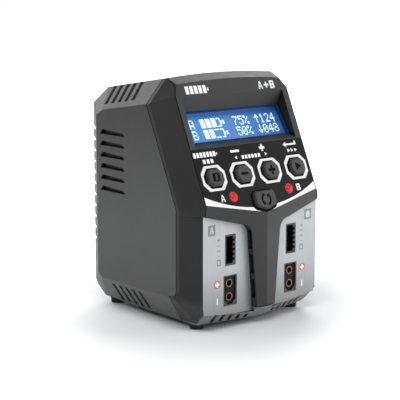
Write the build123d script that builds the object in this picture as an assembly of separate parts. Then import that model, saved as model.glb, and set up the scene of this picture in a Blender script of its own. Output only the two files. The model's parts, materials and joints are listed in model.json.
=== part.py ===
"""Dual-channel balance battery charger with a built-in mains supply.

The case is drawn from two datums: the face of the connector panels (Y = 0) and the top of
the balance sockets (Z = 0), with X = 0 on the plane of symmetry and the front facing -Y.
On export everything moves to the resting frame, whose origin is the centre of the
footprint at the underside of the feet.
"""
from build123d import *
from math import cos, radians, sin, tan
import os

# ---------------------------------------------------------------- case
HALF_WIDTH = 49.0             # side walls
REAR_Y = 93.16                # rear wall
PROW_Y = -4.6                 # centre crease of the front
BOTTOM_Z = -47.0              # underside of the case at its front half
BOTTOM_REAR_Z = -45.2         # underside at the rear wall
FLOOR_Z = -50.0               # underside of the feet
WALL = 2.2
LIP = 1.2                     # tongue that overlaps the other shell
PARTING_GAP = 0.5
FASCIA_GAP = 0.5              # round the control fascia
ROOF_SLOPE = radians(8.8)
ROOF_HALF = 37.18             # where the roof meets the top chamfer
ROOF_EDGE = (32.67, 78.44)    # y, z of the roof's front corner
ROOF_ARCH = 1.6               # rise of the roof in the middle
SIDE_TOP = (33.96, 65.80)     # y, z where the top chamfer meets the side wall
SIDE_BOTTOM_Z = -31.71
BOTTOM_HALF = 38.0
REAR_CHAMFER_Y = 77.5
REAR_HALF = 39.26
LEAN = radians(24.0)          # control panel from the vertical
LEAN_Z = 19.64                # height at which the leaning plane crosses the connector face
PANEL_HALF = 39.8             # half width of the control panel
BEVEL_DROP = 10.74             # how far the side bevels fall back over their width
FRAME_INNER = 40.6            # inner edge of the lower side bevels
FRAME_INNER_Y = -1.35
FRAME_OUTER_Y = 8.36
BEND_Z = 16.0
FLANK_TOP = 11.35             # below this the side bevels start flush with the connector plates
FLANK_EDGE = (40.5, -0.15)    # x, y where they start, and where they run to
FLANK_END = (50.0, 9.42)
INSIDE = Vector(0, 40, 10)    # a point well inside the case

# ---------------------------------------------------------------- control panel
KEY_CENTRE = (4.26, 29.21)    # y, z of the line through the four key centres
KEY_PITCH = 19.57
RING_HALF = (7.95, 6.72)
RING_CUT = (3.26, 3.69)
RING_STROKE = 1.3
RING_RISE = 0.25
CAP_HALF = (5.05, 4.55)
CAP_CUT = (2.2, 2.4)
CAP_RISE = 2.0
CAP_EDGE = 0.5
CAP_GAP = 0.8                 # open all round each cap
CHANNEL_TIP = -20.3           # lowest edge of the centre key, up-slope
CHANNEL_U = -15.0             # its switch
FLANGE = (2.5, 3.3)           # depth of a key's retaining flange
GRIP = 1.6                    # how far the flange reaches beyond the cap
STEM_R = 2.0
PLUNGER = (6.0, 7.9)          # depth of a plunger's ends
PLUNGER_R = 1.75
TRAVEL = 0.5
OVERLAY = 0.4                 # thickness of the label sheet, set flush
OVERLAY_HALF = 39.2
OVERLAY_TOP = 15.9
ARC_SIDE = -9.0               # label's lower edge, at the sides and in the middle
ARC_MIDDLE = -18.3
V_SIDE = -13.9                # lower edge of the leaning plane
V_MIDDLE = -21.7
LED_AT = (19.94, -10.96)
LED_R = 2.0
SWITCH_DEPTH = 7.0            # front of the switches, behind the panel plane
BOARD_DEPTH = 10.2
BOARD = 1.6

# ---------------------------------------------------------------- display
LCD_CENTRE = (20.5, 53.3)     # y, z
LCD_LEAN = radians(33.2)
LCD_GLASS = (68.0, 17.0)      # visible window
RECESS_HALF = 35.8
RECESS_V = 9.2
RECESS_TOP_Z = 69.5
RECESS_SILL_Z = 44.2
LCD_BEZEL = 1.2
LCD_STACK = 6.4               # depth of the display module's back

# ---------------------------------------------------------------- connectors
PLATE = 1.5
PLATE_GAP = 0.12
BALANCE_X = 21.82
BALANCE_HOLE = (7.52, 16.33)
BALANCE_Z = -8.17
BALANCE_PITCH = 2.5
BALANCE_PINS = 5
OUTPUT_HOLE = (9.33, 16.09)
OUTPUT_Z = -29.48
CONTACT_PITCH = 7.2
CONTACT_Z = -29.36
CONTACT_OUTER = 2.05
CONTACT_BORE = 1.75
CONTACT_DEPTH = 9.0
CONTACT_FACE = 0.8            # front of the sleeves, behind the connector face
CHARGE_BOARD_Y = 14.0

# ---------------------------------------------------------------- power section
POWER_BOARD_Z = -38.0
FAN_SIZE = 50.0
FAN_THICK = 13.0
FAN_Z = 25.0
FAN_SHAFT = 1.5
FAN_PLAY = 0.05
FILM = 0.4                    # insulating film inside the body
CASE_SCREW_R = 1.25
FOOT_R = 4.0
FOOT_TOP = -44.8              # top of the rear feet, inside the case floor
INLET_X = -24.0
INLET_Z = -22.0
INLET_PITCH = 8.6

PARTS = {}


# ---------------------------------------------------------------- helpers
def prism(points, height):
    """Closed polygon extruded along +Z."""
    return extrude(make_face(Polyline(*points, close=True)), amount=height, dir=(0, 0, 1))


def along_x(points, x0, x1):
    """(y, z) outline from x0 to x1."""
    return Plane.YZ.offset(x0) * prism(points, x1 - x0)


def along_y(points, y0, y1):
    """(x, z) outline from y0 to y1."""
    return Plane.XZ.offset(-y1) * prism(points, y1 - y0)


def block(x, y, z):
    """Box from three (low, high) pairs."""
    size = Box(x[1] - x[0], y[1] - y[0], z[1] - z[0])
    return Pos((x[0] + x[1]) / 2, (y[0] + y[1]) / 2, (z[0] + z[1]) / 2) * size


def rod(start, end, radius):
    """Round bar between two points."""
    axis = Vector(*end) - Vector(*start)
    bar = Cylinder(radius, axis.length, align=(Align.CENTER, Align.CENTER, Align.MIN))
    return Plane(origin=start, z_dir=axis) * bar


def mirrored(points):
    """The same outline on the other side of the plane of symmetry."""
    return [(-x, z) for x, z in points]


def octagon(half_w, half_h, cut_w, cut_h, grow=0.0):
    """Corner-cut rectangle centred on the origin."""
    w = half_w + grow
    h = half_h + grow
    a = w - cut_w
    b = h - cut_h
    return [(a, h), (w, b), (w, -b), (a, -h), (-a, -h), (-w, -b), (-w, b), (-a, h)]


def panel_plane():
    """Plane of the control panel: x across, y up the slope, z outwards."""
    normal = (0, -cos(LEAN), sin(LEAN))
    return Plane(origin=(0, KEY_CENTRE[0], KEY_CENTRE[1]), x_dir=(1, 0, 0), z_dir=normal)


def on_panel(shape, depth):
    """Put a shape on the control panel, depth measured inwards."""
    return panel_plane() * Pos(0, 0, -depth) * shape


def lcd_plane():
    """Plane of the display's front."""
    normal = (0, -cos(LCD_LEAN), sin(LCD_LEAN))
    return Plane(origin=(0, LCD_CENTRE[0], LCD_CENTRE[1]), x_dir=(1, 0, 0), z_dir=normal)


def lcd_slab(half_w, half_h, depth0, depth1):
    """Rectangular slab parallel to the display."""
    slab = Box(2 * half_w, 2 * half_h, depth1 - depth0)
    return lcd_plane() * Pos(0, 0, -(depth0 + depth1) / 2) * slab


def lcd_point(v, depth):
    """(y, z) of a point v up the display and depth behind it."""
    y = LCD_CENTRE[0] + v * sin(LCD_LEAN) + depth * cos(LCD_LEAN)
    z = LCD_CENTRE[1] + v * cos(LCD_LEAN) - depth * sin(LCD_LEAN)
    return (y, z)


def panel_y(z):
    """Depth of the leaning plane at a height."""
    return (z - LEAN_Z) * tan(LEAN)


def screw(head_r, head_h, shank_r, length):
    """Pan-head screw along Z, shank downwards from the origin, cross recess in the head."""
    head = Cylinder(head_r, head_h, align=(Align.CENTER, Align.CENTER, Align.MIN))
    shank = Cylinder(shank_r, length, align=(Align.CENTER, Align.CENTER, Align.MAX))
    cross = Box(1.3 * head_r, 0.3 * head_r, head_h) + Box(0.3 * head_r, 1.3 * head_r, head_h)
    return head + shank - Pos(0, 0, 1.2 * head_h) * cross


# ---------------------------------------------------------------- outer form
def face_through(a, b, c):
    """Point and outward normal of the plane through three points."""
    a, b, c = Vector(*a), Vector(*b), Vector(*c)
    normal = (b - a).cross(c - a).normalized()
    if (INSIDE - a).dot(normal) > 0:
        normal = normal * -1
    return a, normal


def straight_faces():
    """Faces that cross the plane of symmetry."""
    return [
        (Vector(0, 0, BOTTOM_Z), Vector(0, 0, -1)),
        face_through((0, 48, BOTTOM_Z), (10, 48, BOTTOM_Z), (0, REAR_Y, BOTTOM_REAR_Z)),
        (Vector(0, REAR_Y, 0), Vector(0, 1, 0)),
        (Vector(0, 0, LEAN_Z), Vector(0, -cos(LEAN), sin(LEAN))),
        face_through((0, 81.07, 71.6), (10, 81.07, 71.6), (0, REAR_Y, 61.67)),
        face_through((0, 86.5, -45.5), (10, 86.5, -45.5), (0, REAR_Y, -41.5)),
    ]


def side_faces():
    """Faces on the +X side, repeated on the other."""
    roof_z = ROOF_EDGE[1] - (SIDE_TOP[0] - ROOF_EDGE[0]) * tan(ROOF_SLOPE)
    edge = Vector(HALF_WIDTH - ROOF_HALF, 0, SIDE_TOP[1] - roof_z)
    slope = Vector(0, cos(ROOF_SLOPE), -sin(ROOF_SLOPE))
    side_edge = Vector(HALF_WIDTH, *SIDE_TOP)
    bevel_y = BEVEL_DROP
    bevel_top = (PANEL_HALF, panel_y(60), 60)
    return [
        (Vector(HALF_WIDTH, 0, 0), Vector(1, 0, 0)),
        (side_edge, edge.cross(slope).normalized()),
        face_through((HALF_WIDTH, 0, SIDE_BOTTOM_Z), (HALF_WIDTH, 9, SIDE_BOTTOM_Z),
                     (BOTTOM_HALF, 0, BOTTOM_Z)),
        face_through((HALF_WIDTH, REAR_CHAMFER_Y, 0), (HALF_WIDTH, REAR_CHAMFER_Y, 9),
                     (REAR_HALF, REAR_Y, 0)),
        face_through((HALF_WIDTH, 77.34, 56.85), (REAR_HALF, REAR_Y, 61.67), (ROOF_HALF, 81.07, 71.36)),
        face_through((HALF_WIDTH, 74.6, SIDE_BOTTOM_Z), (HALF_WIDTH, 77.63, -29.19),
                     (REAR_HALF, REAR_Y, -37.46)),
        face_through((PANEL_HALF, panel_y(20), 20), bevel_top, (HALF_WIDTH, panel_y(20) + bevel_y, 20)),
        face_through((0, PROW_Y, 0), (0, PROW_Y, 9), (FRAME_INNER, FRAME_INNER_Y, 0)),
        face_through((FRAME_INNER, FRAME_INNER_Y, 0), (FRAME_INNER, FRAME_INNER_Y, 9),
                     (HALF_WIDTH, FRAME_OUTER_Y, 0)),
        face_through((0, 1.1, BOTTOM_Z), (37.5, 7.8, BOTTOM_Z), (0, PROW_Y, -41.0)),
        face_through((HALF_WIDTH, 8.26, -27.92), (FRAME_INNER, FRAME_INNER_Y, -37.4),
                     (HALF_WIDTH, 13.41, SIDE_BOTTOM_Z)),
        face_through((ROOF_HALF, *ROOF_EDGE), (PANEL_HALF, panel_y(70.4), 70.4),
                     (HALF_WIDTH, 31.36, 66.31)),
    ]


def arched(point, direction, rise, inset):
    """Long cylinder whose crown runs through a point: the roof and its front bevel."""
    radius = (ROOF_HALF ** 2 + rise ** 2) / (2 * rise)
    direction = Vector(*direction).normalized()
    up = Vector(1, 0, 0).cross(direction)
    centre = Vector(*point) - up * radius
    drum = Cylinder(radius - inset, 400)
    return Plane(origin=centre, z_dir=direction) * drum


def envelope(inset):
    """Outer form of the case with every face moved inwards by the inset."""
    body = Pos(0, 40, 10) * Box(120, 120, 160)
    faces = straight_faces()
    for point, normal in side_faces():
        faces.append((point, normal))
        faces.append((Vector(-point.X, point.Y, point.Z), Vector(-normal.X, normal.Y, normal.Z)))
    for point, normal in faces:
        cutter = Plane(origin=point - normal * inset, z_dir=normal)
        body = split(body, bisect_by=cutter, keep=Keep.BOTTOM)
    crown = (0, ROOF_EDGE[0], ROOF_EDGE[1] + ROOF_ARCH)
    body = body & arched(crown, (0, cos(ROOF_SLOPE), -sin(ROOF_SLOPE)), ROOF_ARCH, inset)
    body = body & arched(crown, (0, 7.97, 3.3), 1.2, inset)
    return body


def front_region(shift):
    """Everything in front of the parting surface, which is moved back by the shift."""
    edge = [(34.7, 95), (34.7, 78.44), SIDE_TOP, (10.48, 14.32), (10.68, -28.08), (11.39, -30.1),
            (13.61, -30.9), (15.83, -30.9), (16.33, SIDE_BOTTOM_Z - 0.1), (19.0, BOTTOM_Z), (19.0, -60)]
    outline = [(-30, 95)] + edge + [(-30, -60)]
    return Pos(0, shift, 0) * along_x(outline, -80, 80)


# ---------------------------------------------------------------- front outlines (x, z)
def window_face():
    """Opening for a connector panel, +X side."""
    edge = Polyline((16.5, 4.8), (27.3, 7.8), (40.55, 11.35), (40.55, -37.2), (39.5, -40.2),
                    (25.0, -41.8), (18.0, -42.5), (6.2, -43.0), (9.9, -2.0))
    corner = ThreePointArc((9.9, -2.0), (11.6, 2.7), (16.5, 4.8))
    return make_face(edge + corner)


def window(grow, y0, y1, side):
    """The opening extruded from y0 to y1, grown or shrunk, on either side."""
    face = window_face()
    if grow:
        face = offset(face, amount=grow, kind=Kind.INTERSECTION)
    body = Plane.XZ.offset(-y1) * extrude(face, amount=y1 - y0, dir=(0, 0, 1))
    if side < 0:
        body = mirror(body, about=Plane.YZ)
    return body


def fascia_outline(gap):
    """Outline of the control fascia: leaning panel, V band and centre column."""
    right = [(ROOF_HALF - gap, 95), (ROOF_HALF - gap, 78.3), (36.9 - gap, 75.0), (PANEL_HALF - gap, 70.3),
             (PANEL_HALF - gap, BEND_Z), (40.4 - gap, 11.2), (40.4 - gap, 8.0), (20.0, 0.0), (13.0, -4.0),
             (9.5, -40.8 + gap)]
    return right + mirrored(right)[::-1]


def column_half(z):
    """Half width of the centre column at a height."""
    return 9.9 - (9.9 - 6.2) * (-2.0 - z) / 41.0


# ---------------------------------------------------------------- shells
def screw_points():
    return [(-26.0, 25.0), (26.0, 25.0)]


def louvre_cuts(side):
    """Six tapering louvres in a side wall."""
    cuts = []
    for row in range(6):
        z = 47.03 - 6.1 * row
        outline = [(52.8, z + 0.4), (53.8, z), (74.2, z), (72.4, z + 2.7), (54.4, z + 1.8)]
        x0, x1 = sorted((side * (HALF_WIDTH - 5), side * (HALF_WIDTH + 5)))
        cuts.append(along_x(outline, x0, x1))
    return cuts


def slanted_slot(start, end, normal, width):
    """Slot through a chamfer from start to end."""
    start, end = Vector(*start), Vector(*end)
    run = end - start
    slot = Box(run.length, width, 9.0)
    return Plane(origin=(start + end) * 0.5, x_dir=run, z_dir=normal) * slot


def chamfer_cuts(side):
    """Five slots across the top chamfer and five across the bottom one."""
    cuts = []
    for row in range(5):
        back = 5.8 * row
        drop = back * tan(ROOF_SLOPE)
        top = (side * 37.1, 75.2 - back, 72.1 + drop)
        low = (side * 46.2, 72.3 - back, 62.9 + drop)
        cuts.append(slanted_slot(top, low, (side * 0.721, 0.106, 0.685), 2.8))
        back = 5.67 * row
        top = (side * 47.0, 66.6 - back, -34.5)
        low = (side * 39.3, 67.1 - back, -45.2)
        cuts.append(slanted_slot(top, low, (side * 0.812, 0, -0.584), 2.3))
    return cuts


def corner_cuts(side):
    """Eleven short louvres that notch the rear corner."""
    run = Vector(REAR_HALF - HALF_WIDTH, REAR_Y - REAR_CHAMFER_Y, 0).normalized()
    cuts = []
    for row in range(11):
        z = 48.3 - 6.16 * row
        middle = Vector(REAR_HALF, REAR_Y, z) - run * 5.5
        slot = Plane(origin=middle, x_dir=run, z_dir=(0, 0, 1)) * Box(17.0, 9.0, 2.5)
        if side < 0:
            slot = mirror(slot, about=Plane.YZ)
        cuts.append(slot)
    return cuts


def grille_cut():
    """Ring-shaped openings of the fan grille, split by six spokes."""
    rings = None
    for inner in (7.0, 11.2, 15.4, 19.6):
        ring = Cylinder(inner + 2.9, 8) - Cylinder(inner, 8)
        rings = ring if rings is None else rings + ring
    for turn in range(3):
        rings = rings - Rot(0, 0, 60 * turn) * Box(60, 2.2, 10)
    return Pos(0, REAR_Y, FAN_Z) * Rot(90, 0, 0) * rings


def fan_screw_points():
    reach = FAN_SIZE / 2 - 5.0
    return [(x, FAN_Z + z) for x in (-reach, reach) for z in (-reach, reach)]


def power_board_posts():
    return [(x, y) for x in (-34.0, 34.0) for y in (26.0, 78.0)]


def make_rear_shell(outer, inner):
    """Case body: side walls, roof, floor and rear wall."""
    shell = outer - inner - front_region(PARTING_GAP)
    for side in (-1, 1):
        for cut in louvre_cuts(side) + chamfer_cuts(side) + corner_cuts(side):
            shell = shell - cut
    shell = shell - grille_cut()
    y0, y1 = REAR_Y - 8, REAR_Y + 2
    shell = shell - block((INLET_X - 9.4, INLET_X + 9.4), (y0, y1), (INLET_Z - 5.4, INLET_Z + 5.4))
    for x, z in fan_screw_points():
        shell = shell - rod((x, y0, z), (x, y1, z), 1.7)
        shell = shell - rod((x, REAR_Y - 1.2, z), (x, y1, z), 3.1)
    floor = BOTTOM_Z + WALL
    for x, y in power_board_posts():
        shell = shell + rod((x, y, floor - 0.5), (x, y, POWER_BOARD_Z), 3.0)
        shell = shell - rod((x, y, floor + 0.5), (x, y, POWER_BOARD_Z + 1), 1.1)
    for x, y in screw_points():
        shell = shell - rod((x, y, BOTTOM_Z - 1), (x, y, floor + 1), 1.7)
        shell = shell - rod((x, y, BOTTOM_Z - 1), (x, y, BOTTOM_Z + 1.1), 3.1)
    for x, y in foot_points():
        shell = shell - rod((x, y, BOTTOM_Z - 1), (x, y, FOOT_TOP), FOOT_R + 0.1)
    return shell


def make_front_frame(outer, inner, core):
    """Front ring: side bevels, corner facets and slotted bottom bevel, with an inner tongue.

    Beside the connector plates the bevels are trimmed back so that they start level with the plates.
    """
    outside = outer - inner
    opening = along_y(fascia_outline(0.0), -30, 60)
    hole = opening + window(0.05, -30, 30, 1) + window(0.05, -30, 30, -1)
    frame = (outside & front_region(0.0)) - hole
    for side in (-1, 1):
        (x0, y0), (x1, y1) = FLANK_EDGE, FLANK_END
        flank = [(side * x0, y0), (side * x1, y1), (side * x1, -10), (side * x0, -10)]
        frame = frame - Pos(0, 0, -60) * prism(flank, 60 + FLANK_TOP)
    inner_opening = [(38.9, 71.5), (38.9, 13.7), (40.9, 13.3), (40.9, -37.2), (39.9, -40.8),
                     (25.0, -42.4), (0.0, -43.7)]
    outline = inner_opening + mirrored(inner_opening)[::-1][1:]
    tongue = (inner - core) & front_region(2.6)
    tongue = tongue - along_y(outline, -30, 60)
    tab = None
    for x, y in screw_points():
        pad = block((x - 5, x + 5), (17.0, y + 4.5), (BOTTOM_Z + WALL + 0.02, BOTTOM_Z + WALL + LIP + 1.2))
        pad = pad + rod((x, y, BOTTOM_Z + WALL + 1), (x, y, POWER_BOARD_Z - 0.6), 3.4)
        tab = pad if tab is None else tab + pad
    frame = frame + tongue + tab
    for x, y in screw_points():
        frame = frame - rod((x, y, BOTTOM_Z), (x, y, POWER_BOARD_Z - 1.4), CASE_SCREW_R + 0.05)
    bevel = (38.9, -217.5, -213.8)
    for side in (-1, 1):
        for row in range(5):
            x = 29.9 - 5.05 * row
            high_y = -0.4 + 0.055 * x
            low_y = 0.9 + 0.17 * x
            high = (side * x, high_y, BOTTOM_Z + (38.9 * x - 217.5 * (high_y - 1.1)) / 213.8)
            low = (side * x, low_y, BOTTOM_Z + (38.9 * x - 217.5 * (low_y - 1.1)) / 213.8)
            normal = (side * bevel[0], bevel[1], bevel[2])
            frame = frame - slanted_slot(high, low, normal, 2.3)
    return frame


def recess_body(grow, depth):
    """Display recess; grown, it is the block that its walls are cut from."""
    out_y, out_z = -cos(LEAN) * 6, sin(LEAN) * 6
    top = (panel_y(RECESS_TOP_Z + grow), RECESS_TOP_Z + grow)
    sill = (panel_y(RECESS_SILL_Z - grow), RECESS_SILL_Z - grow)
    outline = [top, lcd_point(RECESS_V + grow, 0), lcd_point(RECESS_V + grow, depth),
               lcd_point(-RECESS_V - grow, depth), lcd_point(-RECESS_V - grow, 0), sill]
    if not grow:
        outline += [(sill[0] + out_y, sill[1] + out_z), (top[0] + out_y, top[1] + out_z)]
    half = RECESS_HALF + grow
    return along_x(outline, -half, half)


def channel_cap_outline(grow):
    """Centre key: flat top, cut corners and a shallow V below."""
    right = [(0.9, CHANNEL_TIP - grow), (6.2 + 0.6 * grow, -18.3 - 0.9 * grow),
             (7.3 + grow, -16.9 - 0.4 * grow), (7.3 + grow, -11.5 + 0.4 * grow),
             (6.0 + 0.6 * grow, -10.2 + grow)]
    return right + [(-x, u) for x, u in right][::-1]


def key_positions():
    """Name and centre of the four keys in the upper row."""
    names = ("stop", "minus", "plus", "enter")
    return [(name, KEY_PITCH * (i - 1.5)) for i, name in enumerate(names)]


def overlay_outline(drop):
    """Label sheet, or with a drop the whole pocket down to the V edge."""
    if drop:
        low = [(OVERLAY_HALF, V_SIDE + 0.6), (0.9, V_MIDDLE + 0.3)]
        points = [(-OVERLAY_HALF, OVERLAY_TOP), (OVERLAY_HALF, OVERLAY_TOP)] + low
        points += [(-x, u) for x, u in low][::-1]
        return make_face(Polyline(*points, close=True))
    edge = Polyline((OVERLAY_HALF, ARC_SIDE), (OVERLAY_HALF, OVERLAY_TOP), (-OVERLAY_HALF, OVERLAY_TOP),
                    (-OVERLAY_HALF, ARC_SIDE))
    arc = ThreePointArc((-OVERLAY_HALF, ARC_SIDE), (0, ARC_MIDDLE), (OVERLAY_HALF, ARC_SIDE))
    return make_face(edge + arc)


def panel_holes(depth0, depth1, clearance):
    """Holes for the keys and the indicators."""
    height = depth1 - depth0
    cap = prism(octagon(*CAP_HALF, *CAP_CUT, grow=clearance), height)
    holes = on_panel(prism(channel_cap_outline(clearance), height), depth1)
    for _, x in key_positions():
        holes = holes + on_panel(Pos(x, 0, 0) * cap, depth1)
    for side in (-1, 1):
        led = Cylinder(LED_R + 0.06, height, align=(Align.CENTER, Align.CENTER, Align.MIN))
        holes = holes + on_panel(Pos(side * LED_AT[0], LED_AT[1], 0) * led, depth1)
    return holes


def panel_posts():
    """Screw posts that carry the key board, as (x, up-slope) pairs."""
    return [(x, u) for x in (-36.3, 36.3) for u in (7.4, -8.6)]


def make_fascia(outer, inner):
    """Control fascia with the display recess, key holes, label pocket and vented column."""
    outline = along_y(fascia_outline(FASCIA_GAP), -30, 60)
    shell = (outer - inner) & front_region(0.0) & outline
    for side in (-1, 1):
        walls = window(1.6, -12, 2.2, side)
        shell = shell + (walls & outer & outline)
    shell = shell + (recess_body(1.6, LCD_BEZEL) & outer)
    for side in (-1, 1):
        shell = shell - window(0.0, -30, 30, side)
    shell = shell - recess_body(0.0, LCD_BEZEL)
    pocket = extrude(overlay_outline(True), amount=6)
    shell = shell - on_panel(pocket, OVERLAY)
    shell = shell - panel_holes(-1, 9, CAP_GAP)
    for x, u in panel_posts():
        post = Cylinder(2.2, BOARD_DEPTH - WALL + 0.2, align=(Align.CENTER, Align.CENTER, Align.MIN))
        hole = Cylinder(1.05, BOARD_DEPTH - WALL - 0.6, align=(Align.CENTER, Align.CENTER, Align.MIN))
        shell = shell + on_panel(Pos(x, u, 0) * post, BOARD_DEPTH)
        shell = shell - on_panel(Pos(x, u, 0) * hole, BOARD_DEPTH)
    for row in range(3):
        high = 1.0 - 13.2 * row
        low = high - 10.3
        half = column_half((high + low) / 2)
        for side in (-1, 1):
            x0 = side * (half - 3.2)
            x1 = side * (half + 2.0)
            cut = block((min(x0, x1), max(x0, x1)), (-3.0, -0.3), (low, high))
            shell = shell - cut
    return shell


def make_label():
    """Label sheet, the pale crescent under it and the rings around the keys."""
    collar = make_face(Polyline(*channel_cap_outline(1.5), close=True)) & overlay_outline(True)
    sheet = extrude(overlay_outline(False) + collar, amount=OVERLAY)
    sheet = on_panel(sheet, OVERLAY) - panel_holes(-1, 2, CAP_GAP)
    crescent = overlay_outline(True) - overlay_outline(False) - collar
    crescent = on_panel(extrude(crescent, amount=OVERLAY), OVERLAY)
    outer = prism(octagon(*RING_HALF, *RING_CUT), RING_RISE)
    hole = Pos(0, 0, -1) * prism(octagon(*RING_HALF, *RING_CUT, grow=-RING_STROKE), 3)
    ring = outer - hole
    rings = [on_panel(Pos(x, 0, 0) * ring, 0) for _, x in key_positions()]
    return sheet, crescent, Compound(children=rings)


# ---------------------------------------------------------------- keys
def make_key(outline, grip, centre):
    """Key cap: raised button with a bevelled edge, retaining flange and stem."""
    top = prism(outline(-CAP_EDGE), CAP_EDGE)
    front, back = FLANGE
    body = prism(outline(0.0), front + CAP_RISE - CAP_EDGE)
    flange = prism(outline(grip), back - front)
    stem = Cylinder(STEM_R, PLUNGER[0] - back, align=(Align.CENTER, Align.CENTER, Align.MAX))
    shape = on_panel(top, -CAP_RISE + CAP_EDGE) + on_panel(body, front) + on_panel(flange, back)
    return shape + on_panel(Pos(centre[0], centre[1], 0) * stem, back)


def make_keys():
    """Four keys in the row and the centre key, with the switch plungers that they push."""
    near, far = PLUNGER
    plunger = Cylinder(PLUNGER_R, far - near, align=(Align.CENTER, Align.CENTER, Align.MIN))
    switch = Box(6.2, 6.2, BOARD_DEPTH - SWITCH_DEPTH, align=(Align.CENTER, Align.CENTER, Align.MIN))
    well_depth = 2 * TRAVEL + far - SWITCH_DEPTH
    well = Cylinder(PLUNGER_R + 0.08, well_depth, align=(Align.CENTER, Align.CENTER, Align.MAX))
    switches = []
    centres = [(name, (x, 0.0)) for name, x in key_positions()]
    centres.append(("channel", (0.0, CHANNEL_U)))
    for name, (x, u) in centres:
        if name == "channel":
            cap = make_key(channel_cap_outline, GRIP - 0.2, (x, u))
        else:
            def outline(grow, x=x):
                return [(x + a, b) for a, b in octagon(*CAP_HALF, *CAP_CUT, grow=grow)]
            cap = make_key(outline, GRIP, (x, u))
        PARTS[name + "_button"] = cap
        PARTS[name + "_plunger"] = on_panel(Pos(x, u, 0) * plunger, far)
        body = on_panel(Pos(x, u, 0) * switch, BOARD_DEPTH)
        switches.append(body - on_panel(Pos(x, u, 0) * well, SWITCH_DEPTH - 0.1))
    PARTS["tact_switches"] = Compound(children=switches)


def make_key_board():
    """Board behind the keys, and the two indicators that stand on it."""
    outline = [(-38, 10.0), (38, 10.0), (38, -11.5), (12, -19.0), (-12, -19.0), (-38, -11.5)]
    board = on_panel(prism(outline, BOARD), BOARD_DEPTH + BOARD)
    for x, u in panel_posts():
        board = board - on_panel(Pos(x, u, 0) * Cylinder(1.35, 20), BOARD_DEPTH)
    PARTS["keypad_board"] = board
    for name, side in (("a", -1), ("b", 1)):
        stem = Cylinder(LED_R, BOARD_DEPTH, align=(Align.CENTER, Align.CENTER, Align.MIN))
        rim = Cylinder(LED_R + 0.4, 1.0, align=(Align.CENTER, Align.CENTER, Align.MIN))
        dome = Sphere(LED_R) & Pos(0, 0, LED_R) * Box(8, 8, 2 * LED_R)
        lamp = stem + rim + Pos(0, 0, BOARD_DEPTH - 0.7) * dome
        PARTS["status_led_" + name] = on_panel(Pos(side * LED_AT[0], LED_AT[1], 0) * lamp, BOARD_DEPTH)


# ---------------------------------------------------------------- display
def make_display():
    """Display module: bezel, glass, backlight and driver board."""
    half_w, half_h = LCD_GLASS[0] / 2, LCD_GLASS[1] / 2
    bezel = lcd_slab(RECESS_HALF - 0.15, RECESS_V - 0.15, 0, LCD_BEZEL)
    bezel = bezel + lcd_slab(RECESS_HALF + 1.3, RECESS_V + 1.3, LCD_BEZEL, 3.2)
    bezel = bezel - lcd_slab(half_w, half_h, -1, 2) - lcd_slab(half_w + 1.0, half_h + 0.4, LCD_BEZEL, 4)
    PARTS["lcd_frame"] = bezel
    PARTS["lcd_glass"] = lcd_slab(half_w + 0.9, half_h + 0.3, LCD_BEZEL, 3.2)
    PARTS["lcd_backlight"] = lcd_slab(RECESS_HALF + 1.0, RECESS_V + 1.0, 3.2, LCD_STACK)
    PARTS["lcd_board"] = lcd_slab(37.3, 12.6, LCD_STACK, LCD_STACK + BOARD)


# ---------------------------------------------------------------- connectors
def make_connector_panel(side):
    """Silver plate with openings for both sockets of a channel."""
    plate = window(-PLATE_GAP, 0.0, PLATE, side)
    w, h = BALANCE_HOLE
    x = side * BALANCE_X
    plate = plate - block((x - w / 2, x + w / 2), (-1, 3), (BALANCE_Z - h / 2, BALANCE_Z + h / 2))
    w, h = OUTPUT_HOLE
    plate = plate - block((x - w / 2, x + w / 2), (-1, 3), (OUTPUT_Z - h / 2, OUTPUT_Z + h / 2))
    return plate


def make_balance_socket(side):
    """Five-way header with keyed side wall, and its square pins."""
    w, h = BALANCE_HOLE[0] - 0.2, BALANCE_HOLE[1] - 0.2
    x, z = side * BALANCE_X, BALANCE_Z
    shell = block((x - w / 2, x + w / 2), (0.2, 9.0), (z - h / 2, z + h / 2))
    cavity = (x - w / 2 + 0.9, x + w / 2 - 1.7)
    shell = shell - block(cavity, (-1, 6.8), (z - h / 2 + 0.9, z + h / 2 - 0.9))
    pins = []
    middle = (BALANCE_PINS - 1) / 2
    for i in range(BALANCE_PINS):
        pin_z = z + BALANCE_PITCH * (i - middle)
        notch = block((cavity[1] - 0.1, x + w / 2 - 0.5), (0, 5.0), (pin_z - 0.65, pin_z + 0.65))
        shell = shell - notch
        pin = block((x - 0.82, x - 0.18), (3.0, CHARGE_BOARD_Y), (pin_z - 0.32, pin_z + 0.32))
        pins.append(pin)
        shell = shell - pin
    return shell, Compound(children=pins)


def cut_corners(x, z, half_w, half_h, cut):
    """Rectangle whose two lower corners are cut off."""
    return [(x - half_w, z + half_h), (x + half_w, z + half_h), (x + half_w, z - half_h + cut),
            (x + half_w - cut, z - half_h), (x - half_w + cut, z - half_h), (x - half_w, z - half_h + cut)]


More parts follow.
